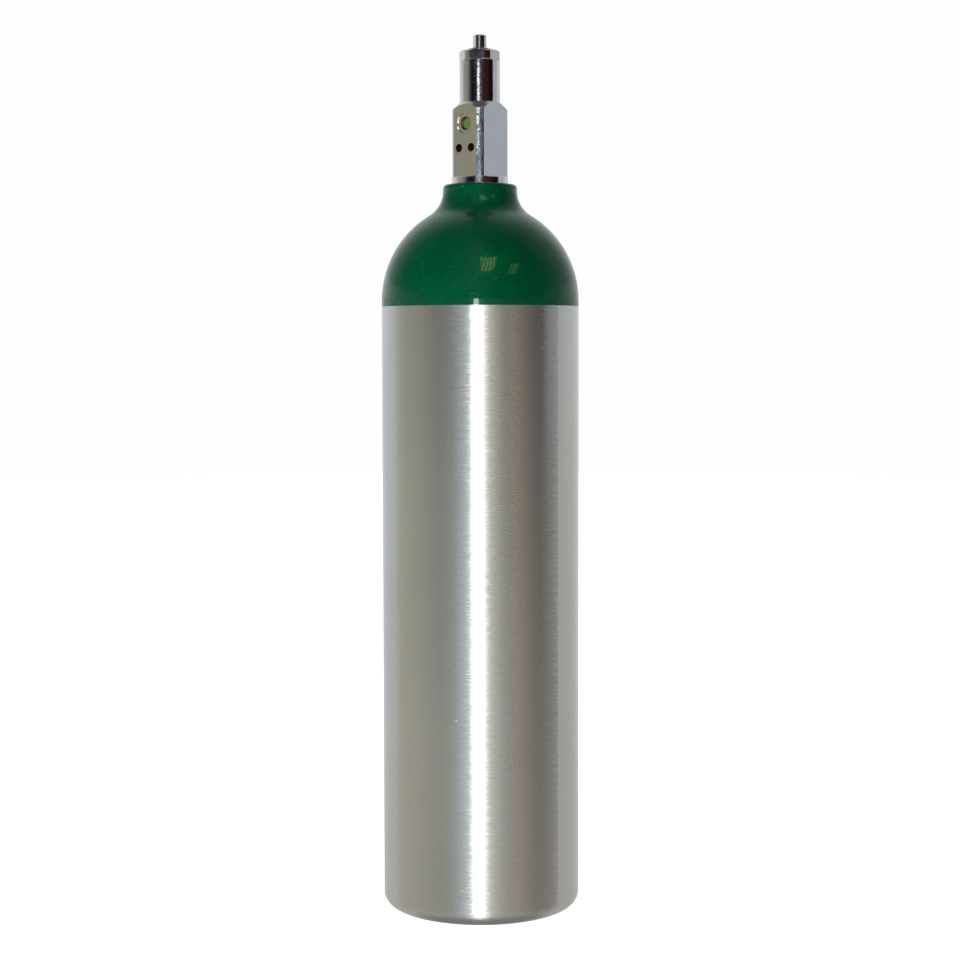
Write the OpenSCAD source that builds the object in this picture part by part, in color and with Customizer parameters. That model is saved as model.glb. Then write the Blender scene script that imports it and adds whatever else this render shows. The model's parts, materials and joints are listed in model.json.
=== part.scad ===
// Small medical oxygen cylinder with a pin-index post valve.
// Row frame: +Z up along the cylinder's axis, origin at the centre of its base, -Y out of the
// gas outlet. Millimetres.

/* [Cylinder] */
// Outside diameter of the body
body_d = 111.25; // [105:0.25:120]
// Height of the neck's top face above the base
neck_z = 409.5; // [390:0.5:430]
// Outside diameter of the neck
neck_d = 41.8; // [40:0.2:46]
// Wall thickness of the straight body
wall = 5.5; // [5:0.5:8]
// Thickness of the base beside the dish
base_t = 9; // [8:0.5:14]
// Radius of the base's outer corner
base_r = 8; // [5:0.5:12]
// Radius of the hollow between the dome and the neck
hollow_r = 16.5; // [14:0.5:20]
// Height of the dome's centre above the base
dome_z = 344.5; // [335:0.5:350]

/* [Enamel] */
// Height of the painted shoulder's lower edge
paint_z = 341; // [300:0.5:341]
// Thickness of the enamel
paint_t = 0.15; // [0.1:0.05:0.4]

/* [Valve post] */
// Diameter of the round bar that the post is milled from
post_d = 31.1; // [30:0.1:32]
// Post's size across the outlet face and the back face
post_y = 26.1; // [25:0.1:27]
// Post's size across its two side faces
post_x = 23.2; // [22:0.1:25]
// Diameter of the flange that sits on the neck
flange_d = 31.8; // [31:0.1:34]
// Height of the flange
flange_h = 4; // [3:0.5:6]
// Diameter of the round bonnet above the post
bonnet_d = 22.8; // [22:0.1:23.6]
// Diameter of the inlet thread
inlet_d = 19; // [18:0.1:19.4]
// Length of the inlet thread
inlet_l = 24; // [18:1:26]

/* [Outlet] */
// Diameter of the washer seat round the outlet
seat_ring_d = 11; // [10.4:0.1:12]
// Diameter of the outlet port
port_d = 7.5; // [7.3:0.1:8.6]
// Radius of the arc that carries the index holes, about the outlet
index_r = 14.3; // [14:0.1:14.5]
// Angle of each index hole from straight below the outlet
index_a = 18; // [6:12:30]
// Diameter of an index hole
index_d = 4.75; // [4.6:0.05:5]

/* [Stem] */
// Diameter of the stem's drive end
stem_d = 7.8; // [7:0.1:8]
// Size across the drive end's two flats
stem_flats = 6.4; // [5.8:0.1:6.8]
// Angle of the flats' normals from +X when the valve is shut
stem_a = 60; // [0:5:175]
// Size across the six flats of the gland nut
nut_af = 21.3; // [20.6:0.1:22]
// Angle of the gland nut's first corner from +X
nut_a = -28; // [-30:1:30]

/* [Hidden] */
$fn = 96;

eps = 0.01;
run_gap = 0.05;                       // radial clearance of a running or screwed fit
seal_gap = 0.02;                      // what a squeezed seal leaves free
drill_tip = 30;                       // angle of a drilled hole's conical end from its rim

// Cylinder
body_r = body_d / 2;
neck_r = neck_d / 2;
neck_edge_r = 2.2;                    // rounding of the neck's top edge
cavity_r = body_r - wall;
cavity_corner_r = 16;                 // inside corner above the base
knuckle_r = 26;                       // inside turn from the wall to the crown
crown_r = 60;                         // inside radius of the crown
dish_r = 30;                          // outer radius of the dish under the base
dish_depth = 2.5;
bare_rim = 0.2;                       // unpainted metal beside the valve's flange
dish_sphere_r = (dish_r * dish_r + dish_depth * dish_depth) / (2 * dish_depth);
// Centre of the hollow arc: tangent to the dome's sphere and to the neck's wall
hollow_x = neck_r + hollow_r;
hollow_z = dome_z + sqrt(pow(body_r + hollow_r, 2) - hollow_x * hollow_x);
// Centre of the inside crown: tangent to the knuckle, on the axis
knuckle_x = cavity_r - knuckle_r;
knuckle_z = dome_z - 3;
crown_z = knuckle_z - sqrt(pow(crown_r - knuckle_r, 2) - knuckle_x * knuckle_x);

// Neck seal
inlet_r = inlet_d / 2;
gland_r = 12.2;                       // counterbore in the neck that holds the O-ring
gland_depth = 2.2;
thread_pitch = 25.4 / 16;
thread_depth = 0.85;
thread_flat = 0.2;                    // half of the flat at the thread's crest
thread_lead = 1.2;                    // chamfer at the thread's start
thread_runout = 3;                    // plain length under the flange

// Valve post, all heights above the neck's top face
post_top = 45.9;                      // where the top chamfer meets the bonnet
bonnet_top = 69.4;
port_up = 33.6;
relief_up = 13;
seat_up = 29.4;                        // top of the seat nozzle
seat_z = neck_z + seat_up;
port_z = neck_z + port_up;
bonnet_z = neck_z + bonnet_top;
post_r = post_d / 2;
bonnet_r = bonnet_d / 2;
edge = 0.4;                           // small chamfer on turned edges

// Inside the valve body
inlet_bore_r = 2.6;
tube_r = 3;                           // debris tube, pressed into the inlet
tube_wall = 0.8;
tube_l = 57;
tube_grip = 8;
nozzle_r = 3;
nozzle_bore_r = 1.8;
nozzle_h = 1.5;
nozzle_l = 4;                         // length of the nozzle's narrow bore
chamber_r = 6.6;
chamber_top = seat_z + 7;
spindle_bore_r = 6;
bonnet_bore_r = 8.25;
bonnet_bore_l = 13.2;
bonnet_floor = bonnet_z - bonnet_bore_l;
seat_ring_depth = 0.7;
seat_ring_mouth = 0.25;               // chamfer at the seat's edge
port_depth = 1.4;
filter_r = 2.8;
filter_t = 0.8;
orifice_r = 1.25;
index_depth = 5.6;
dimple_r = 3.2;                       // yoke screw seat in the back face
dimple_depth = 1.5;

// Relief device in the side face
relief_r = 4.6;
relief_depth = 5;
relief_bore_r = 1.5;
gasket_hole_r = 2.4;
plug_bore_r = 1.8;
vent_r = 0.7;                         // cross holes in the plug's head
relief_z = neck_z + relief_up;
relief_floor = post_x / 2 - relief_depth;
disc_t = 0.3;
gasket_t = 0.7;
relief_af = 9.5;
relief_corner_r = 5.3;
relief_head = 3.2;

// Gland nut and stem
nut_h = 5.2;
boss_r = 7.1;
boss_h = 1.3;
nut_skirt = 8;
nut_bore_r = 5.65;                    // seal bore inside the nut
nut_bore_h = 6.2;
nut_cut = 0.6;                        // chamfer at the top of the nut's corners
nut_foot = 0.3;                       // chamfer at their lower end
stem_r = stem_d / 2;
stem_rise = 7.7;                      // how far the drive end stands above the boss
stem_edge = 0.5;
flats_up = 0.8;                       // where the flats begin above the boss
washer_t = 1;
spring_t = 0.4;                       // thickness and height of the coned spring washer
spring_h = 1.1;
skirt_z = bonnet_z - nut_skirt;
boss_z = bonnet_z + nut_h + boss_h;
stem_top = boss_z + stem_rise;
collar_r = 7.4;
collar_t = 3;
collar_z = skirt_z - washer_t - collar_t;
seal_r = nut_bore_r - run_gap;
groove_r = 4.35;
groove_w = 2.4;
groove_zs = [skirt_z + 0.6, skirt_z + 0.6 + groove_w + 0.4];
oring_w = 1.55;
tang_t = 3;
tang_w = 9;
tang_l = 12;
tang_gap = 0.1;

// Lower spindle and seat
spindle_r = spindle_bore_r - run_gap;
disc_r = 3.4;
disc_h = 2.6;
disc_depth = 1.7;                     // how deep the soft disc sits in its holder
holder_z = seat_z + disc_h - disc_depth;
holder_r = 4.6;
holder_h = 4.2;
stub_r = 2.2;
stub_h = 6.4;
stub_gap = 0.4;                       // free length above the holder's stub
spindle_z = holder_z + holder_h + 0.1;
spindle_l = 16.8;
spindle_edge = 0.6;
slot_depth = 8.5;
snap_z = holder_z + holder_h + 4;
snap_t = 0.6;
snap_in = 1.7;
snap_out = 2.7;
snap_gap = 0.15;                      // room for the ring in the spindle's groove
snap_slit = 1.2;

// ---- outlines of the cylinder ----

// Half outline of the cylinder's outside, grown outwards by g
module outside(g) {
    r = body_r + g;
    n = neck_r + g;
    reach = body_r + hollow_r;
    edge_r = neck_edge_r + g;
    translate([0, base_r]) square([r, dome_z - base_r]);
    square([body_r - base_r, dome_z]);
    translate([body_r - base_r, base_r]) circle(base_r + g);
    intersection() {
        translate([0, dome_z]) circle(r);
        translate([0, dome_z]) square([r + 1, r + 1]);
    }
    difference() {
        polygon([
            [0, dome_z],
            [hollow_x * body_r / reach, dome_z + (hollow_z - dome_z) * body_r / reach],
            [hollow_x, hollow_z],
            [n, hollow_z],
            [0, hollow_z],
        ]);
        translate([hollow_x, hollow_z]) circle(hollow_r - g);
    }
    translate([0, dome_z]) square([n - edge_r, neck_z + g - dome_z]);
    translate([0, hollow_z - eps]) square([n, neck_z - neck_edge_r - hollow_z + eps]);
    translate([n - edge_r, neck_z - neck_edge_r]) circle(edge_r);
}

// Half outline of the enamel: a layer let into the shoulder, from the paint line to the flange
module enamel_outline() {
    intersection() {
        difference() {
            outside(0);
            outside(-paint_t);
        }
        translate([flange_d / 2 + bare_rim, paint_z]) square([body_d, neck_z - paint_z + 1]);
    }
}

// Half outline of the gas space
module gas_space() {
    corner_z = base_t + cavity_corner_r;
    translate([0, corner_z]) square([cavity_r, knuckle_z - corner_z]);
    translate([0, base_t]) square([cavity_r - cavity_corner_r, cavity_corner_r + 1]);
    translate([cavity_r - cavity_corner_r, corner_z]) circle(cavity_corner_r);
    intersection() {
        translate([knuckle_x, knuckle_z]) circle(knuckle_r);
        translate([0, knuckle_z - knuckle_r]) square([cavity_r + 1, 2 * knuckle_r + 1]);
    }
    intersection() {
        translate([0, crown_z]) circle(crown_r);
        polygon([
            [0, crown_z],
            [2 * knuckle_x, crown_z + 2 * (knuckle_z - crown_z)],
            [2 * knuckle_x, crown_z + 2 * crown_r],
            [0, crown_z + 2 * crown_r],
        ]);
    }
}

// ---- small shapes that repeat ----

// A ring or disc about +Z
module ring(r_out, r_in, h, z) {
    translate([0, 0, z]) difference() {
        cylinder(r = r_out, h = h);
        if (r_in > 0) translate([0, 0, -1]) cylinder(r = r_in, h = h + 2);
    }
}

// A blind hole from the post's face at distance d, along the direction a degrees from +X
module side_hole(a, d, depth, r, z, across = 0, drilled = false, mouth = 0) {
    rotate([0, 0, a]) translate([d - depth, across, z]) rotate([0, 90, 0]) {
        cylinder(r = r, h = depth + 5);
        if (mouth > 0)
            translate([0, 0, depth - mouth]) cylinder(r1 = r, r2 = r + mouth + 1, h = mouth + 1);
        if (drilled)
            translate([0, 0, eps]) mirror([0, 0, 1]) cylinder(r1 = r, r2 = 0, h = r * tan(drill_tip));
    }
}

// A hexagonal prism turned down to corner_r, with its corners chamfered at the foot and the top
module turned_hex(af, corner_r, h, foot, cut) {
    intersection() {
        cylinder(r = af / 2 / cos(30), h = h, $fn = 6);
        rotate_extrude() polygon([
            [0, 0],
            [corner_r - foot, 0],
            [corner_r, foot],
            [corner_r, h - cut],
            [corner_r - cut, h],
            [0, h],
        ]);
    }
}

// Right half of a screw thread's outline, as V grooves one pitch apart
function thread_points(r, z0, z1) = [
    for (i = [0 : floor((z1 - z0) / thread_pitch) - 1])
        each [
            [r, z0 + i * thread_pitch + thread_flat],
            [r - thread_depth, z0 + (i + 0.5) * thread_pitch],
            [r, z0 + (i + 1) * thread_pitch - thread_flat],
        ]
];

// ---- cylinder ----

module cylinder_shell() {
    color("silver") rotate_extrude() difference() {
        outside(0);
        enamel_outline();
        gas_space();
        square([inlet_r + run_gap, 2 * neck_z]);
        translate([0, neck_z - gland_depth]) square([gland_r, gland_depth + 1]);
        translate([0, dish_depth - dish_sphere_r]) circle(dish_sphere_r);
    }
    color("silver") rotate_extrude() difference() {
        square([inlet_r + run_gap + 1, base_t]);
        translate([0, dish_depth - dish_sphere_r]) circle(dish_sphere_r);
    }
}

module shoulder_enamel() {
    color("darkgreen") rotate_extrude() enamel_outline();
}

module neck_o_ring() {
    width_r = (gland_r - inlet_r) / 2 - seal_gap;
    color("black") translate([0, 0, neck_z - gland_depth / 2])
        rotate_extrude() translate([(gland_r + inlet_r) / 2, 0]) intersection() {
            circle(width_r);
            translate([-width_r - 1, -gland_depth / 2]) square([2 * width_r + 2, gland_depth]);
        }
}

// ---- valve body ----

module inlet_thread() {
    z0 = neck_z - inlet_l;
    rotate_extrude() polygon(concat(
        [[0, z0], [inlet_r - thread_lead, z0], [inlet_r, z0 + thread_lead]],
        thread_points(inlet_r, z0 + thread_lead, neck_z - thread_runout),
        [[inlet_r, neck_z], [0, neck_z]]
    ));
}

module flange() {
    f = flange_d / 2;
    translate([0, 0, neck_z]) rotate_extrude() polygon([
        [0, -eps], [f - edge, 0], [f, edge], [f, flange_h - edge], [f - edge, flange_h],
        [0, flange_h],
    ]);
}

// The round bar with four milled faces and a turned chamfer at the top
module post() {
    z0 = neck_z + flange_h - eps;
    top = neck_z + post_top;
    intersection() {
        rotate_extrude() polygon([
            [0, z0], [post_r, z0], [post_r, top - (post_r - bonnet_r)], [bonnet_r, top],
            [0, top],
        ]);
        translate([-post_x / 2, -post_y / 2, z0]) cube([post_x, post_y, top - z0]);
    }
}

module bonnet() {
    z0 = neck_z + post_top - 2;
    rotate_extrude() polygon([
        [0, z0], [bonnet_r, z0], [bonnet_r, bonnet_z - edge], [bonnet_r - edge, bonnet_z],
        [0, bonnet_z],
    ]);
}

// Everything bored down the middle, from the inlet to the bonnet
module centre_bores() {
    floor_z = seat_z - nozzle_h;
    translate([0, 0, neck_z - inlet_l - 1]) cylinder(r = tube_r, h = tube_grip + 1);
    translate([0, 0, neck_z - inlet_l])
        cylinder(r = inlet_bore_r, h = inlet_l + seat_up - nozzle_l);
    translate([0, 0, neck_z]) cylinder(r = nozzle_bore_r, h = seat_up + 1);
    difference() {
        translate([0, 0, floor_z]) cylinder(r = chamber_r, h = chamber_top - floor_z);
        translate([0, 0, floor_z - 1]) cylinder(r = nozzle_r, h = nozzle_h + 1);
    }
    translate([0, 0, chamber_top - 1])
        cylinder(r = spindle_bore_r, h = bonnet_floor - chamber_top + 2);
    translate([0, 0, bonnet_floor]) cylinder(r = bonnet_bore_r, h = bonnet_z - bonnet_floor + 1);
}

module outlet_bores() {
    face = post_y / 2;
    side_hole(-90, face, seat_ring_depth, seat_ring_d / 2, port_z, mouth = seat_ring_mouth);
    side_hole(-90, face, seat_ring_depth + port_depth, port_d / 2, port_z);
    side_hole(-90, face, seat_ring_depth + port_depth + filter_t, filter_r, port_z);
    side_hole(-90, face, face - chamber_r + 1, orifice_r, port_z);
    for (s = [-1, 1])
        side_hole(-90, face, index_depth, index_d / 2, port_z - index_r * cos(index_a),
                  s * index_r * sin(index_a), drilled = true);
}

// Seat for the yoke's screw: a short bore with a conical end
module yoke_dimple() {
    side_hole(90, post_y / 2, dimple_depth, dimple_r, port_z, drilled = true);
}

module relief_bores() {
    side_hole(180, post_x / 2, relief_depth, relief_r, relief_z);
    side_hole(180, post_x / 2, post_x / 2, relief_bore_r, relief_z);
}

module valve_body() {
    color("gainsboro") difference() {
        union() {
            inlet_thread();
            flange();
            post();
            bonnet();
        }
        centre_bores();
        outlet_bores();
        yoke_dimple();
        relief_bores();
    }
}

module debris_tube() {
    top = neck_z - inlet_l + tube_grip;
    color("goldenrod") ring(tube_r, tube_r - tube_wall, tube_l, top - tube_l);
}

module outlet_filter() {
    depth = seat_ring_depth + port_depth + filter_t;
    color("green") rotate([90, 0, 0]) translate([0, port_z, post_y / 2 - depth])
        cylinder(r = filter_r, h = filter_t);
}

// ---- relief device, all along -X from its port's floor ----

module on_relief_axis() {
    translate([-relief_floor, 0, relief_z]) rotate([0, -90, 0]) children();
}

module burst_disc() {
    color("peru") on_relief_axis() cylinder(r = relief_r - 0.1, h = disc_t);
}

module relief_gasket() {
    color("white") on_relief_axis() ring(relief_r - 0.1, gasket_hole_r, gasket_t, disc_t);
}

module relief_plug() {
    z0 = disc_t + gasket_t;
    vent_z = relief_depth + relief_head / 2;
    color("gainsboro") on_relief_axis() difference() {
        union() {
            translate([0, 0, z0]) cylinder(r = relief_r - run_gap, h = relief_depth - z0);
            translate([0, 0, relief_depth])
                turned_hex(relief_af, relief_corner_r, relief_head, 0, nut_cut);
        }
        translate([0, 0, z0 - 1]) cylinder(r = plug_bore_r, h = vent_z + vent_r + 0.1 - z0 + 1);
        for (a = [30 : 60 : 150])
            rotate([0, 0, a]) translate([-relief_af, 0, vent_z]) rotate([0, 90, 0])
                cylinder(r = vent_r, h = 2 * relief_af);
    }
}

// ---- gland nut and stem ----

module gland_nut() {
    color("gainsboro") difference() {
        union() {
            translate([0, 0, skirt_z]) cylinder(r = bonnet_bore_r - run_gap, h = nut_skirt + 1);
            translate([0, 0, bonnet_z]) rotate([0, 0, nut_a])
                turned_hex(nut_af, bonnet_r, nut_h, nut_foot, nut_cut);
            translate([0, 0, bonnet_z + nut_h - 1]) rotate_extrude() polygon([
                [0, 0], [boss_r, 0], [boss_r, boss_h + 1 - edge],
                [boss_r - edge, boss_h + 1], [0, boss_h + 1],
            ]);
        }
        translate([0, 0, skirt_z - 1]) cylinder(r = nut_bore_r, h = nut_bore_h + 1);
        translate([0, 0, skirt_z]) cylinder(r = stem_r + run_gap, h = boss_z - skirt_z + 1);
    }
}

module thrust_washer() {
    color("white") ring(bonnet_bore_r - 0.35, nut_bore_r + 0.1, washer_t, skirt_z - washer_t);
}

// Coned washer that holds the stem's collar up against the thrust washer
module spring_washer() {
    outer_r = bonnet_bore_r - 0.2;
    color("gray") translate([0, 0, bonnet_floor]) rotate_extrude() polygon([
        [spindle_bore_r + 0.6, 0],
        [outer_r, spring_h - spring_t],
        [outer_r, spring_h],
        [spindle_bore_r + 0.6, spring_t],
    ]);
}

module stem() {
    shaft_z = skirt_z + nut_bore_h - 0.2;
    collar_top = collar_z + collar_t - seal_gap;
    color("gainsboro") rotate([0, 0, stem_a]) difference() {
        union() {
            rotate_extrude() polygon([
                [0, collar_z], [collar_r, collar_z], [collar_r, collar_top],
                [seal_r, collar_top], [seal_r, shaft_z], [stem_r, shaft_z],
                [stem_r, stem_top - stem_edge], [stem_r - stem_edge, stem_top], [0, stem_top],
            ]);
            intersection() {
                translate([-tang_t / 2, -tang_w / 2, collar_z - tang_l])
                    cube([tang_t, tang_w, tang_l + 1]);
                translate([0, 0, collar_z - tang_l]) cylinder(r = tang_w / 2, h = tang_l + 1);
            }
        }
        for (z = groove_zs) ring(seal_r + 1, groove_r, groove_w, z);
        for (s = [-1, 1])
            translate([s * stem_flats / 2 - (s < 0 ? stem_d : 0), -stem_d, boss_z + flats_up])
                cube([stem_d, 2 * stem_d, stem_rise]);
    }
}

// O-rings pressed to the width between the groove and the nut's bore
module stem_o_rings() {
    mid = (groove_r + nut_bore_r - seal_gap) / 2;
    half = (nut_bore_r - seal_gap - groove_r) / 2;
    color("black") for (z = groove_zs)
        translate([0, 0, z + oring_w / 2]) rotate_extrude() translate([mid, 0]) intersection() {
            circle(oring_w / 2);
            translate([-half, -1]) square([2 * half, 2]);
        }
}

module stem_backup_rings() {
    color("white") for (z = groove_zs)
        ring(nut_bore_r - seal_gap, groove_r, groove_w - oring_w - 2 * seal_gap,
             z + oring_w + seal_gap);
}

// ---- lower spindle and seat ----

module lower_spindle() {
    top = spindle_z + spindle_l;
    color("goldenrod") rotate([0, 0, stem_a]) difference() {
        rotate_extrude() polygon([
            [0, spindle_z], [spindle_r - spindle_edge, spindle_z],
            [spindle_r, spindle_z + spindle_edge], [spindle_r, top - spindle_edge],
            [spindle_r - spindle_edge, top], [0, top],
        ]);
        translate([-tang_t / 2 - tang_gap, -spindle_r - 1, top - slot_depth])
            cube([tang_t + 2 * tang_gap, 2 * spindle_r + 2, slot_depth + 1]);
        translate([0, 0, spindle_z - 1])
            cylinder(r = stub_r + run_gap, h = stub_h + stub_gap + 1);
        translate([0, 0, snap_z - snap_gap])
            cylinder(r = snap_out + snap_gap, h = snap_t + 2 * snap_gap);
    }
}

module seat_holder() {
    top = holder_z + holder_h;
    color("goldenrod") difference() {
        union() {
            translate([0, 0, holder_z]) cylinder(r = holder_r, h = holder_h);
            translate([0, 0, top - 1]) cylinder(r = stub_r, h = stub_h + 1);
        }
        translate([0, 0, holder_z - 1]) cylinder(r = disc_r, h = disc_depth + 1);
        ring(stub_r + 1, snap_in, snap_t, snap_z);
    }
}

module seat_snap_ring() {
    color("gray") difference() {
        ring(snap_out, snap_in, snap_t, snap_z);
        translate([0, -snap_slit / 2, snap_z - 1]) cube([snap_out + 1, snap_slit, snap_t + 2]);
    }
}

module seat_disc() {
    color("white") translate([0, 0, seat_z]) cylinder(r = disc_r, h = disc_h);
}

cylinder_shell();
shoulder_enamel();
neck_o_ring();
valve_body();
debris_tube();
outlet_filter();
relief_plug();
relief_gasket();
burst_disc();
gland_nut();
thrust_washer();
spring_washer();
stem();
stem_o_rings();
stem_backup_rings();
lower_spindle();
seat_holder();
seat_snap_ring();
seat_disc();
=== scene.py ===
"""Medical oxygen cylinder with a pin-index post valve: its looks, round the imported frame."""
import json
import math
from collections import namedtuple

import bpy
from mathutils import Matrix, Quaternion, Vector


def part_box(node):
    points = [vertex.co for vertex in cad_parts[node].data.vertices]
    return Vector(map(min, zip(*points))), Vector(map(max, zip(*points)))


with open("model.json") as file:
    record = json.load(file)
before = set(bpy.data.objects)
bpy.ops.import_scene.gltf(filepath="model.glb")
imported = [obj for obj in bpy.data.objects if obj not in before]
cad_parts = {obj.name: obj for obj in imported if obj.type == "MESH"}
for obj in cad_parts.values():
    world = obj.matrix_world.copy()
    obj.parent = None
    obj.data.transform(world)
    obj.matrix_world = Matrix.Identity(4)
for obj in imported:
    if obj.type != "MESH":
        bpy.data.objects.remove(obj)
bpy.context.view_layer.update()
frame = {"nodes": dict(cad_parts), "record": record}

MM = 0.001

# ---- places, from the frame and from the valve's own lengths ----
PAINT_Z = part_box("shoulder_enamel")[0].z
NECK_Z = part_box("neck_o_ring")[1].z
FILTER_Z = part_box("outlet_filter")[0].z
POST_FOOT = NECK_Z + 5 * MM               # the four-sided post, clear of its two ends
POST_TOP = NECK_Z + 41 * MM
BONNET_FOOT = NECK_Z + 46 * MM            # the round bonnet above it
SEAT_RING_LOW = FILTER_Z - 3 * MM         # the recessed ring round the outlet
SEAT_RING_DEPTH = 0.7 * MM
BAR_FACET = 0.3 * MM                      # how far inside the bar's circle its facets' centres lie
SKIN = 0.03 * MM                          # tolerance when a face's place is looked up

# ---- camera: about level with the paint line, outlet face to the left ----
CAMERA_AZIMUTH = math.radians(40.0)
CAMERA_DISTANCE = 1.19
CAMERA_LENS = 78.7
CAMERA_SENSOR = 36.0
CAMERA_SHIFT_Y = -0.028
CAMERA_BELOW_PAINT = 0.02
CAMERA_AIM_Z = 0.258
CAMERA_AIM_LEFT = 0.3 * MM
CAMERA_ROLL = math.radians(-0.12)


def add_camera():
    data = bpy.data.cameras.new("camera")
    data.lens, data.sensor_width, data.shift_y = CAMERA_LENS, CAMERA_SENSOR, CAMERA_SHIFT_Y
    camera = bpy.data.objects.new("camera", data)
    bpy.context.collection.objects.link(camera)
    camera.location = (CAMERA_DISTANCE * math.sin(CAMERA_AZIMUTH),
                       -CAMERA_DISTANCE * math.cos(CAMERA_AZIMUTH),
                       PAINT_Z - CAMERA_BELOW_PAINT)
    aim = Vector((-CAMERA_AIM_LEFT * math.cos(CAMERA_AZIMUTH),
                  -CAMERA_AIM_LEFT * math.sin(CAMERA_AZIMUTH), CAMERA_AIM_Z))
    look = aim - camera.location
    camera.rotation_mode = "QUATERNION"
    camera.rotation_quaternion = (look.to_track_quat("-Z", "Y")
                                  @ Quaternion((0, 0, 1), CAMERA_ROLL))
    bpy.context.scene.camera = camera


# ---- node graphs ----
class Graph:
    """A short way to build a node tree: g.node(type, {input: value or socket}, attribute=value)."""

    def __init__(self, tree):
        self.tree = tree
        tree.nodes.clear()

    def node(self, kind, inputs=None, **attributes):
        made = self.tree.nodes.new(kind)
        for name, value in attributes.items():
            setattr(made, name, value)
        for name, value in (inputs or {}).items():
            if isinstance(value, bpy.types.NodeSocket):
                self.tree.links.new(value, made.inputs[name])
            else:
                made.inputs[name].default_value = value
        return made

    def math(self, operation, a, b=0.0, c=0.0):
        return self.node("ShaderNodeMath", {0: a, 1: b, 2: c}, operation=operation).outputs[0]

    def vector(self, operation, a, b=(0, 0, 0)):
        return self.node("ShaderNodeVectorMath", {0: a, 1: b}, operation=operation).outputs[0]

    def ramp(self, factor, stops):
        made = self.node("ShaderNodeValToRGB", {"Fac": factor})
        elements = made.color_ramp.elements
        while len(elements) < len(stops):
            elements.new(1.0)
        for element, (place, colour) in zip(elements, stops):
            element.position = place
            element.color = (*colour, 1)
        return made.outputs["Color"]

    def mix(self, factor, a, b):
        # A mix node's colour sockets share their names with its other types' sockets
        factor_socket, a_socket, b_socket, result = 0, 6, 7, 2
        values = {factor_socket: factor, a_socket: a, b_socket: b}
        values = {socket: (*value, 1) if isinstance(value, tuple) else value
                  for socket, value in values.items()}
        return self.node("ShaderNodeMix", values, data_type="RGBA").outputs[result]


def new_material(name):
    material = bpy.data.materials.new(name)
    material.use_nodes = True
    return material, Graph(material.node_tree)


# ---- studio: what the metal mirrors, in rings of tones round the object ----
# The rings are the floor's side up to the horizon, a narrow band over the horizon, and the room
# above it. Each stop is (degrees from the camera's side, positive to its right, linear colour).
BELOW = [(-180, (0.75, 0.76, 0.78)), (-150, (0.62, 0.64, 0.66)), (-119, (0.6, 0.63, 0.62)),
         (-111, (0.52, 0.51, 0.43)), (-83, (0.49, 0.48, 0.4)), (-68, (0.45, 0.45, 0.39)),
         (-45, (0.4, 0.42, 0.38)), (-31, (0.48, 0.52, 0.5)), (-20, (0.74, 0.84, 0.9)),
         (-12, (0.9, 1.0, 1.08)), (-9, (3.5, 3.5, 3.5)), (-1, (4.4, 4.4, 4.4)), (3, (2.9, 2.9, 2.9)),
         (8, (1.02, 0.98, 0.96)), (18, (0.7, 0.7, 0.7)), (30, (0.45, 0.47, 0.45)),
         (38, (0.46, 0.41, 0.36)), (50, (0.38, 0.32, 0.28)), (69, (0.2, 0.18, 0.165)),
         (94, (0.2, 0.19, 0.175)), (101, (0.52, 0.53, 0.5)), (135, (0.55, 0.55, 0.52)),
         (180, (0.75, 0.76, 0.78))]
HORIZON = [(-180, (0.8, 0.81, 0.84)), (-150, (0.86, 0.89, 0.96)), (-125, (0.73, 0.77, 0.82)),
           (-113, (0.6, 0.65, 0.67)), (-97, (0.35, 0.39, 0.35)), (-80, (0.36, 0.35, 0.255)),
           (-66, (0.2, 0.21, 0.18)), (-54, (0.04, 0.035, 0.042)), (-42, (0.012, 0.006, 0.013)),
           (-10, (0.03, 0.016, 0.045)), (-1, (0.03, 0.016, 0.045)),
           (5, (0.05, 0.02, 0.022)), (45, (0.045, 0.01, 0.01)),
           (58, (0.008, 0.005, 0.005)), (78, (0.005, 0.004, 0.005)), (84, (0.52, 0.56, 0.63)),
           (91, (0.56, 0.6, 0.66)), (96, (0.5, 0.54, 0.6)), (108, (0.5, 0.54, 0.6)),
           (116, (0.67, 0.7, 0.74)), (124, (0.7, 0.73, 0.76)), (180, (0.8, 0.81, 0.84))]
CEILING = [(-180, (0.5, 0.51, 0.52)), (-165, (0.8, 0.82, 0.84)), (-150, (0.75, 0.78, 0.79)),
           (-134, (0.45, 0.48, 0.49)), (-110, (0.03, 0.03, 0.027)), (-60, (0.08, 0.08, 0.075)),
           (-36, (0.12, 0.13, 0.13)), (-20, (0.46, 0.49, 0.5)), (-4, (0.6, 0.6, 0.6)),
           (8, (0.36, 0.36, 0.35)), (26, (0.02, 0.02, 0.02)),
           (88, (0.02, 0.012, 0.01)), (98, (0.26, 0.26, 0.27)), (128, (0.4, 0.42, 0.43)),
           (150, (0.75, 0.78, 0.79)), (165, (0.8, 0.82, 0.84)), (180, (0.5, 0.51, 0.52))]
ZENITH = (0.14, 0.12, 0.125)
UNDERFOOT = (0.24, 0.26, 0.255)            # the floor close by, in the object's own shade
HAZE, HAZE_SHARE = (0.5, 0.47, 0.42), 0.5  # the floor further out, mixed into the lowest ring
# Elevations in degrees where one ring gives way to the next, and over how many degrees it does
UNDERFOOT_TOP, UNDERFOOT_FADE = -42.0, 16.0
HAZE_TOP, HAZE_FADE = -7.0, 10.0
BELOW_TOP, BELOW_FADE = 1.2, 1.4
CEILING_START, CEILING_FADE = 8.2, 1.6
ZENITH_START, ZENITH_FADE = 66.0, 10.0
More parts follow.
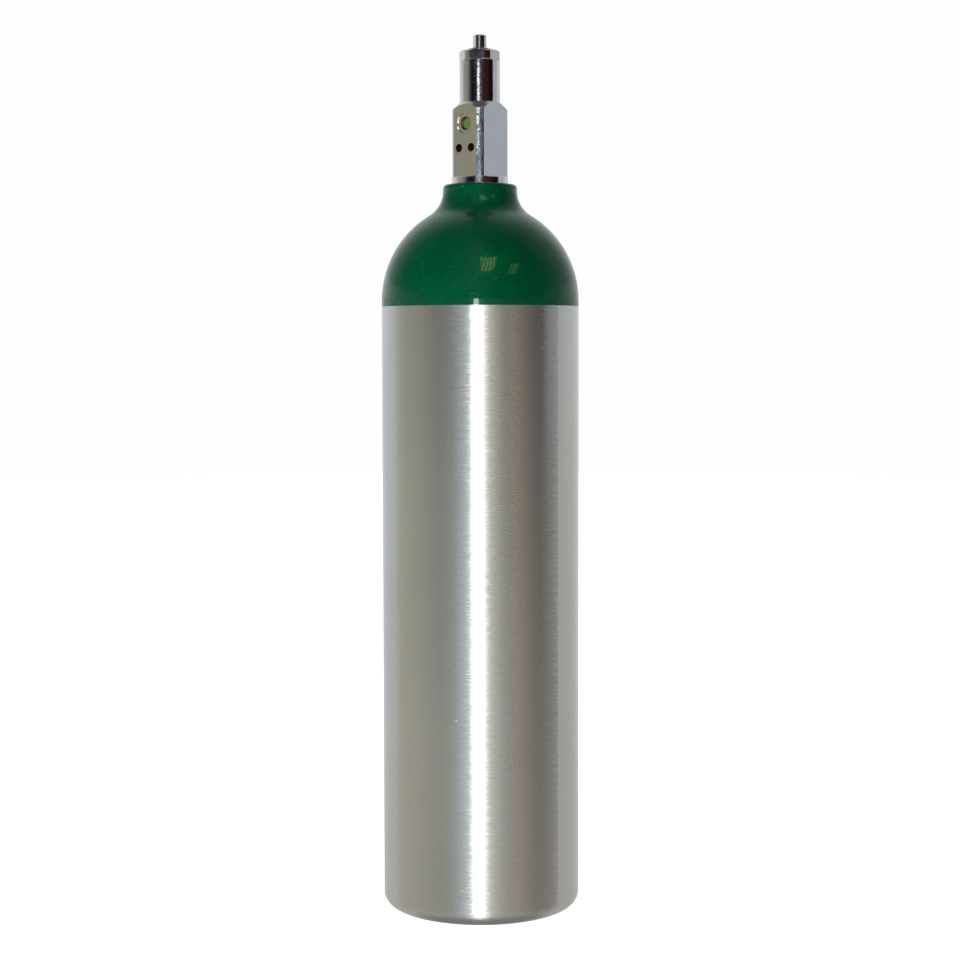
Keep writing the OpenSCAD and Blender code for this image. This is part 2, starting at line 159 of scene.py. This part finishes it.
# Lit panels, in degrees. Lean and taper are degrees sideways per degree up.
Panel = namedtuple("Panel", "azimuth elevation half_width half_height lean taper slats colour")
PANELS = [Panel(-5, 5.4, 14, 1.2, 0, 0, 0, (0.19, 0.25, 0.3)),
          Panel(-7.5, 6.9, 5, 0.2, 0, 1.2, 0, (3.2, 3.3, 3.4)),
          Panel(-4.5, 1.5, 1.6, 0.5, 0, 2.2, 0, (60.0, 63.0, 63.0)),
          Panel(11, 41, 10, 8, 0.35, -0.35, 4, (11.0, 10.7, 3.4)),
          Panel(45, 33, 6, 5, 0.9, 0, 3, (4.4, 4.5, 1.6))]
PANEL_EDGE = 0.6                           # softness of their edges, in degrees
SLAT_DEPTH = 0.44                          # half of how far the slats dim them


def turned_ramp(graph, turn, stops):
    return graph.ramp(turn, [((angle + 180) / 360, tone) for angle, tone in stops])


def build_world():
    world = bpy.data.worlds.new("studio")
    bpy.context.scene.world = world
    world.use_nodes = True
    g = Graph(world.node_tree)
    direction = g.node("ShaderNodeTexCoord").outputs["Generated"]
    sin_a, cos_a = math.sin(CAMERA_AZIMUTH), math.cos(CAMERA_AZIMUTH)

    def along(axis):
        return g.node("ShaderNodeVectorMath", {0: direction, 1: axis},
                      operation="DOT_PRODUCT").outputs["Value"]

    front, right, up = along((sin_a, -cos_a, 0)), along((cos_a, sin_a, 0)), along((0, 0, 1))
    azimuth = g.math("MULTIPLY", g.math("ARCTAN2", right, front), math.degrees(1))
    elevation = g.math("MULTIPLY", g.math("ARCSINE", up), math.degrees(1))
    turn = g.math("MULTIPLY_ADD", azimuth, 1 / 360, 0.5)

    def rises(value, start, width):
        return g.node("ShaderNodeMapRange", {"Value": value, "From Min": start,
                      "From Max": start + width}, interpolation_type="SMOOTHSTEP").outputs[0]

    haze = g.math("MULTIPLY", HAZE_SHARE,
                  g.math("SUBTRACT", 1.0, rises(elevation, HAZE_TOP - HAZE_FADE, HAZE_FADE)))
    tone = g.mix(haze, turned_ramp(g, turn, BELOW), HAZE)
    tone = g.mix(rises(elevation, UNDERFOOT_TOP - UNDERFOOT_FADE, UNDERFOOT_FADE), UNDERFOOT,
                 tone)
    tone = g.mix(rises(elevation, BELOW_TOP, BELOW_FADE), tone, turned_ramp(g, turn, HORIZON))
    tone = g.mix(rises(elevation, CEILING_START, CEILING_FADE), tone,
                 turned_ramp(g, turn, CEILING))
    tone = g.mix(rises(elevation, ZENITH_START, ZENITH_FADE), tone, ZENITH)
    for panel in PANELS:
        upward = g.math("SUBTRACT", elevation, panel.elevation)
        sideways = g.math("SUBTRACT", g.math("SUBTRACT", azimuth, panel.azimuth),
                          g.math("MULTIPLY", upward, panel.lean))
        across = g.math("MULTIPLY_ADD", upward, panel.taper, g.math("ABSOLUTE", sideways))
        outside = g.math("MAXIMUM", rises(across, panel.half_width, PANEL_EDGE),
                         rises(g.math("ABSOLUTE", upward), panel.half_height, PANEL_EDGE))
        if panel.slats:
            pitch = panel.half_width / panel.slats
            wave = g.math("SINE", g.math("MULTIPLY", sideways, math.pi / pitch))
            shade = g.math("MULTIPLY_ADD", wave, SLAT_DEPTH, SLAT_DEPTH)
            outside = g.math("MAXIMUM", outside, shade)
        tone = g.mix(outside, panel.colour, tone)
    background = g.node("ShaderNodeBackground", {"Color": tone, "Strength": 1.0})
    g.node("ShaderNodeOutputWorld", {"Surface": background.outputs[0]})


# ---- softbox: it lights the enamel and the floor, and the metal doesn't mirror it ----
SOFTBOX_AZIMUTH = CAMERA_AZIMUTH + math.radians(-46)
SOFTBOX_ELEVATION = math.radians(6)
SOFTBOX_DISTANCE = 1.8
SOFTBOX_SIZE = 1.2
SOFTBOX_WATTS = 33.0
SOFTBOX_AIM = Vector((0, 0, 0.25))


def add_softbox():
    data = bpy.data.lights.new("softbox", "AREA")
    data.size, data.energy = SOFTBOX_SIZE, SOFTBOX_WATTS
    light = bpy.data.objects.new("softbox", data)
    bpy.context.collection.objects.link(light)
    back = Vector((math.sin(SOFTBOX_AZIMUTH) * math.cos(SOFTBOX_ELEVATION),
                   -math.cos(SOFTBOX_AZIMUTH) * math.cos(SOFTBOX_ELEVATION),
                   math.sin(SOFTBOX_ELEVATION)))
    light.location = SOFTBOX_AIM + back * SOFTBOX_DISTANCE
    light.rotation_euler = (-back).to_track_quat("-Z", "Y").to_euler()
    light.visible_glossy = False


# ---- stage: a pale floor, and a backdrop that only the camera sees ----
STAGE_R = 4.0
FLOOR_GLOW = 0.93                          # the floor also scatters the softbox's light
BACKDROP_GLOW = 0.99


def add_stage():
    bpy.ops.mesh.primitive_circle_add(vertices=96, radius=STAGE_R, fill_type="NGON")
    floor = bpy.context.object
    floor.name = "floor"
    material, g = new_material("floor")
    shader = g.node("ShaderNodeBsdfPrincipled", {
        "Base Color": (0.8, 0.8, 0.8, 1), "Roughness": 0.9, "Specular IOR Level": 0.0,
        "Emission Color": (1, 1, 1, 1), "Emission Strength": FLOOR_GLOW})
    g.node("ShaderNodeOutputMaterial", {"Surface": shader.outputs[0]})
    floor.data.materials.append(material)
    floor.visible_glossy = False

    bpy.ops.mesh.primitive_uv_sphere_add(segments=64, ring_count=32, radius=STAGE_R * 2)
    backdrop = bpy.context.object
    backdrop.name = "backdrop"
    material, g = new_material("backdrop")
    glow = g.node("ShaderNodeEmission", {"Color": (1, 1, 1, 1), "Strength": BACKDROP_GLOW})
    g.node("ShaderNodeOutputMaterial", {"Surface": glow.outputs[0]})
    backdrop.data.materials.append(material)
    for ray in ("diffuse", "glossy", "transmission", "volume_scatter", "shadow"):
        setattr(backdrop, "visible_" + ray, False)


# ---- materials ----
ROW_SWAY = 0.16                # how far a brushed row's normals lean round the body
DENT_SWAY = 0.16               # and how far a small dent's do
EDGE_R = 0.1 * MM              # rounding of the plated edges
SURFACE_DEPTH = 0.1 * MM       # height of the ripples in chrome and enamel, at full strength
GRAIN_DEPTH = 0.05 * MM        # and of the grain on the small pieces
BRUSH_DEPTH = 0.02 * MM        # and of the brushed lines


def object_place(g, scale=(1, 1, 1)):
    place = g.node("ShaderNodeTexCoord").outputs["Object"]
    return g.node("ShaderNodeMapping", {"Vector": place, "Scale": scale}).outputs[0]


def noise(g, place, scale, detail=4.0, rough=0.55):
    return g.node("ShaderNodeTexNoise", {"Vector": place, "Scale": scale, "Detail": detail,
                                         "Roughness": rough}).outputs["Fac"]


def spots(g, scale, edge, core):
    """Small round spots: 0 outside the edge's radius, 1 inside the core's."""
    distance = g.node("ShaderNodeTexVoronoi", {"Vector": object_place(g),
                                               "Scale": scale}).outputs["Distance"]
    return g.node("ShaderNodeMapRange", {"Value": distance, "From Min": edge,
                                         "From Max": core}).outputs[0]


def spread(g, value, low, high):
    """A noise's usual range, 0.25 to 0.75, spread over low to high."""
    return g.node("ShaderNodeMapRange", {"Value": value, "From Min": 0.25, "From Max": 0.75,
                                         "To Min": low, "To Max": high}).outputs[0]


def brushed_aluminium():
    """Aluminium brushed round the body: short fine lines, a little uneven, with small dents."""
    material, g = new_material("brushed_aluminium")
    fine = noise(g, object_place(g, (190, 190, 3400)), 1.0, 3.0, 0.65)
    lines = noise(g, object_place(g, (60, 60, 1300)), 1.0, 4.0, 0.6)
    grain = noise(g, object_place(g, (900, 900, 1800)), 1.0, 2.0)
    patches = noise(g, object_place(g, (9, 9, 12)), 1.0, 3.0)
    scratch = noise(g, object_place(g, (30, 30, 60)), 3.0, 2.0)
    dent = spots(g, 110.0, 0.045, 0.03)

    colour = g.mix(fine, (0.55, 0.55, 0.535), (0.78, 0.785, 0.78))
    colour = g.mix(g.math("MULTIPLY", patches, 0.3), colour, (0.6, 0.595, 0.57))
    colour = g.mix(g.math("MULTIPLY", grain, 0.25), colour, (0.55, 0.55, 0.54))
    rough = g.math("ADD", spread(g, fine, 0.2, 0.3), spread(g, patches, -0.03, 0.03))

    straight = g.node("ShaderNodeNewGeometry").outputs["Normal"]
    round_body = g.vector("CROSS_PRODUCT", (0, 0, 1), straight)
    sway = g.math("MULTIPLY", g.math("SUBTRACT", fine, 0.5), ROW_SWAY)
    sway = g.math("MULTIPLY_ADD", dent, DENT_SWAY, sway)
    swayed = g.node("ShaderNodeVectorMath", {0: round_body, "Scale": sway},
                    operation="SCALE").outputs[0]
    normal = g.vector("NORMALIZE", g.vector("ADD", straight, swayed))
    height = g.math("ADD", fine, g.math("MULTIPLY", lines, 0.5))
    height = g.math("ADD", height, g.math("MULTIPLY", scratch, 0.4))
    bump = g.node("ShaderNodeBump", {"Height": height, "Strength": 0.35,
                                     "Distance": BRUSH_DEPTH, "Normal": normal})
    tangent = g.node("ShaderNodeTangent", direction_type="RADIAL", axis="Z")
    shader = g.node("ShaderNodeBsdfPrincipled", {
        "Base Color": colour, "Metallic": 1.0, "Roughness": rough, "Normal": bump.outputs[0],
        "Anisotropic": 0.85, "Anisotropic Rotation": 0.25, "Tangent": tangent.outputs[0]})
    g.node("ShaderNodeOutputMaterial", {"Surface": shader.outputs[0]})
    return material


def green_enamel():
    """Deep green enamel: a soft green gloss under a clear one, orange peel and a few nibs, which are
    also painted light green as painted highlights.
    """
    material, g = new_material("green_enamel")
    place = object_place(g)
    flow = noise(g, place, 60.0, 2.0)
    peel = noise(g, place, 480.0, 2.0)
    flake = noise(g, place, 750.0, 3.0, 0.8)
    nib_and_glint = spots(g, 130.0, 0.045, 0.015)
    colour = g.mix(spread(g, flow, 0.0, 1.0), (0.0, 0.05, 0.0215), (0.0, 0.07, 0.0295))
    colour = g.mix(spread(g, flake, 0.0, 0.9), colour, (0.0, 0.021, 0.009))
    # The nibs are painted light green: a painted highlight on each dust nib, whose bump is real.
    colour = g.mix(g.math("MULTIPLY", nib_and_glint, 0.6), colour, (0.2, 0.4, 0.26))
    height = g.math("ADD", flow, g.math("MULTIPLY", peel, 0.05))
    height = g.math("ADD", height, g.math("MULTIPLY", nib_and_glint, 0.08))
    bump = g.node("ShaderNodeBump", {"Height": height, "Strength": 0.15,
                                     "Distance": SURFACE_DEPTH})
    shader = g.node("ShaderNodeBsdfPrincipled", {
        "Base Color": colour, "Roughness": spread(g, peel, 0.3, 0.42),
        "IOR": 1.2, "Specular IOR Level": 1.0, "Specular Tint": (0.01, 1.0, 0.45, 1),
        "Coat Weight": 0.8, "Coat Roughness": 0.03, "Coat IOR": 1.2,
        "Normal": bump.outputs[0], "Coat Normal": bump.outputs[0]})
    g.node("ShaderNodeOutputMaterial", {"Surface": shader.outputs[0]})
    return material


def chrome(name, tone, rough, ripple, ripple_scale=260.0, tall=0.8):
    """Plated brass: a hard mirror with a faint ripple, haze and fine handling scratches."""
    material, g = new_material(name)
    place = object_place(g)
    wave = noise(g, object_place(g, (1, 1, tall)), ripple_scale, 2.0)
    haze = noise(g, place, 110.0, 4.0)
    scratch = noise(g, place, 520.0, 4.0, 0.7)
    stain = noise(g, object_place(g, (1, 1, 0.7)), 150.0, 2.0)
    colour = g.mix(spread(g, haze, 0.0, 1.0), tone, (0.9 * tone[0], 0.92 * tone[1], 0.86 * tone[2]))
    colour = g.mix(spread(g, stain, 0.0, 0.45), colour,
                   (0.95 * tone[0], 0.89 * tone[1], 0.98 * tone[2]))
    colour = g.mix(g.math("MULTIPLY", scratch, 0.14), colour, (0.45, 0.44, 0.42))
    rounded = g.node("ShaderNodeBevel", {"Radius": EDGE_R}, samples=6)
    bump = g.node("ShaderNodeBump", {"Height": wave, "Strength": ripple,
                                     "Distance": SURFACE_DEPTH, "Normal": rounded.outputs[0]})
    shader = g.node("ShaderNodeBsdfPrincipled", {
        "Base Color": colour, "Metallic": 1.0, "Normal": bump.outputs[0],
        "Roughness": spread(g, haze, rough, rough + 0.06)})
    g.node("ShaderNodeOutputMaterial", {"Surface": shader.outputs[0]})
    return material


def plain(name, tone, metallic, rough, scale=300.0):
    """The hidden and small pieces: a mottled tone, uneven gloss and a fine grain."""
    material, g = new_material(name)
    mottle = noise(g, object_place(g), scale, 4.0)
    colour = g.mix(mottle, tuple(0.8 * v for v in tone), tuple(min(1, 1.12 * v) for v in tone))
    bump = g.node("ShaderNodeBump", {"Height": mottle, "Strength": 0.3,
                                     "Distance": GRAIN_DEPTH})
    shader = g.node("ShaderNodeBsdfPrincipled", {
        "Base Color": colour, "Metallic": metallic, "Normal": bump.outputs[0],
        "Roughness": spread(g, mottle, rough, rough + 0.12)})
    g.node("ShaderNodeOutputMaterial", {"Surface": shader.outputs[0]})
    return material


SLOT_MATERIALS = {
    "shell_aluminium": brushed_aluminium(),
    "shoulder_green": green_enamel(),
    "valve_chrome": chrome("valve_chrome", (0.69, 0.7, 0.69), 0.05, 0.05),
    "stem_chrome": chrome("stem_chrome", (0.66, 0.66, 0.66), 0.06, 0.03),
    "brass": plain("brass", (0.72, 0.5, 0.2), 1.0, 0.25),
    "copper": plain("copper", (0.8, 0.42, 0.27), 1.0, 0.3),
    "seal_rubber": plain("seal_rubber", (0.02, 0.02, 0.02), 0.0, 0.55),
    "white_ptfe": plain("white_ptfe", (0.85, 0.85, 0.82), 0.0, 0.45),
    "seat_nylon": plain("seat_nylon", (0.8, 0.76, 0.62), 0.0, 0.4),
    "filter_green": plain("filter_green", (0.07, 0.115, 0.024), 0.0, 0.3, 900.0),
    "spring_steel": plain("spring_steel", (0.42, 0.42, 0.43), 1.0, 0.3),
}


def dress_frame():
    for part in frame["record"]["subparts"]:
        mesh = frame["nodes"][part["node"]].data
        mesh.materials.clear()
        mesh.materials.append(SLOT_MATERIALS[part["material_slot"]])


def dress_valve_body():
    """The bonnet is turned, the bores are bare metal painted dark brown as painted shade inside
    them, and four corners keep the bar's rippled skin.
    """
    mesh = frame["nodes"]["valve_body"].data
    # The bar's skin is darker and tinted blue-grey: the blue is a painted reflection of the light it
    # mirrors, over its real ripple.
    mesh.materials.append(chrome("valve_bar_skin_blue_reflection", (0.56, 0.61, 0.66), 0.05, 1.0, 600.0, 0.35))
    mesh.materials.append(chrome("valve_bonnet", (0.69, 0.7, 0.69), 0.05, 0.5, 420.0))
    # The bores are painted dark brown: painted shade inside the holes, over bare metal.
    mesh.materials.append(plain("valve_bores_painted_shade", (0.34, 0.2, 0.15), 1.0, 0.25, 700.0))
    bar_skin, bonnet, shaded_bores = 1, 2, 3
    on_post = [v.co for v in mesh.vertices if POST_FOOT < v.co.z < BONNET_FOOT]
    bar_r = max(math.hypot(co.x, co.y) for co in on_post)
    half_x, half_y = max(co.x for co in on_post), max(co.y for co in on_post)
    for face in mesh.polygons:
        centre = face.center
        depth_x, depth_y = half_x - abs(centre.x), half_y - abs(centre.y)
        in_seat_ring = depth_y < SEAT_RING_DEPTH + SKIN and centre.z > SEAT_RING_LOW
        if centre.z > BONNET_FOOT:
            face.material_index = bonnet
        elif not POST_FOOT < centre.z < POST_TOP or min(depth_x, depth_y) < SKIN:
            continue
        elif math.hypot(centre.x, centre.y) > bar_r - BAR_FACET:
            face.material_index = bar_skin
        elif not in_seat_ring:
            face.material_index = shaded_bores


add_camera()
build_world()
add_softbox()
add_stage()
dress_frame()
dress_valve_body()

bpy.context.scene.view_settings.view_transform = "Standard"
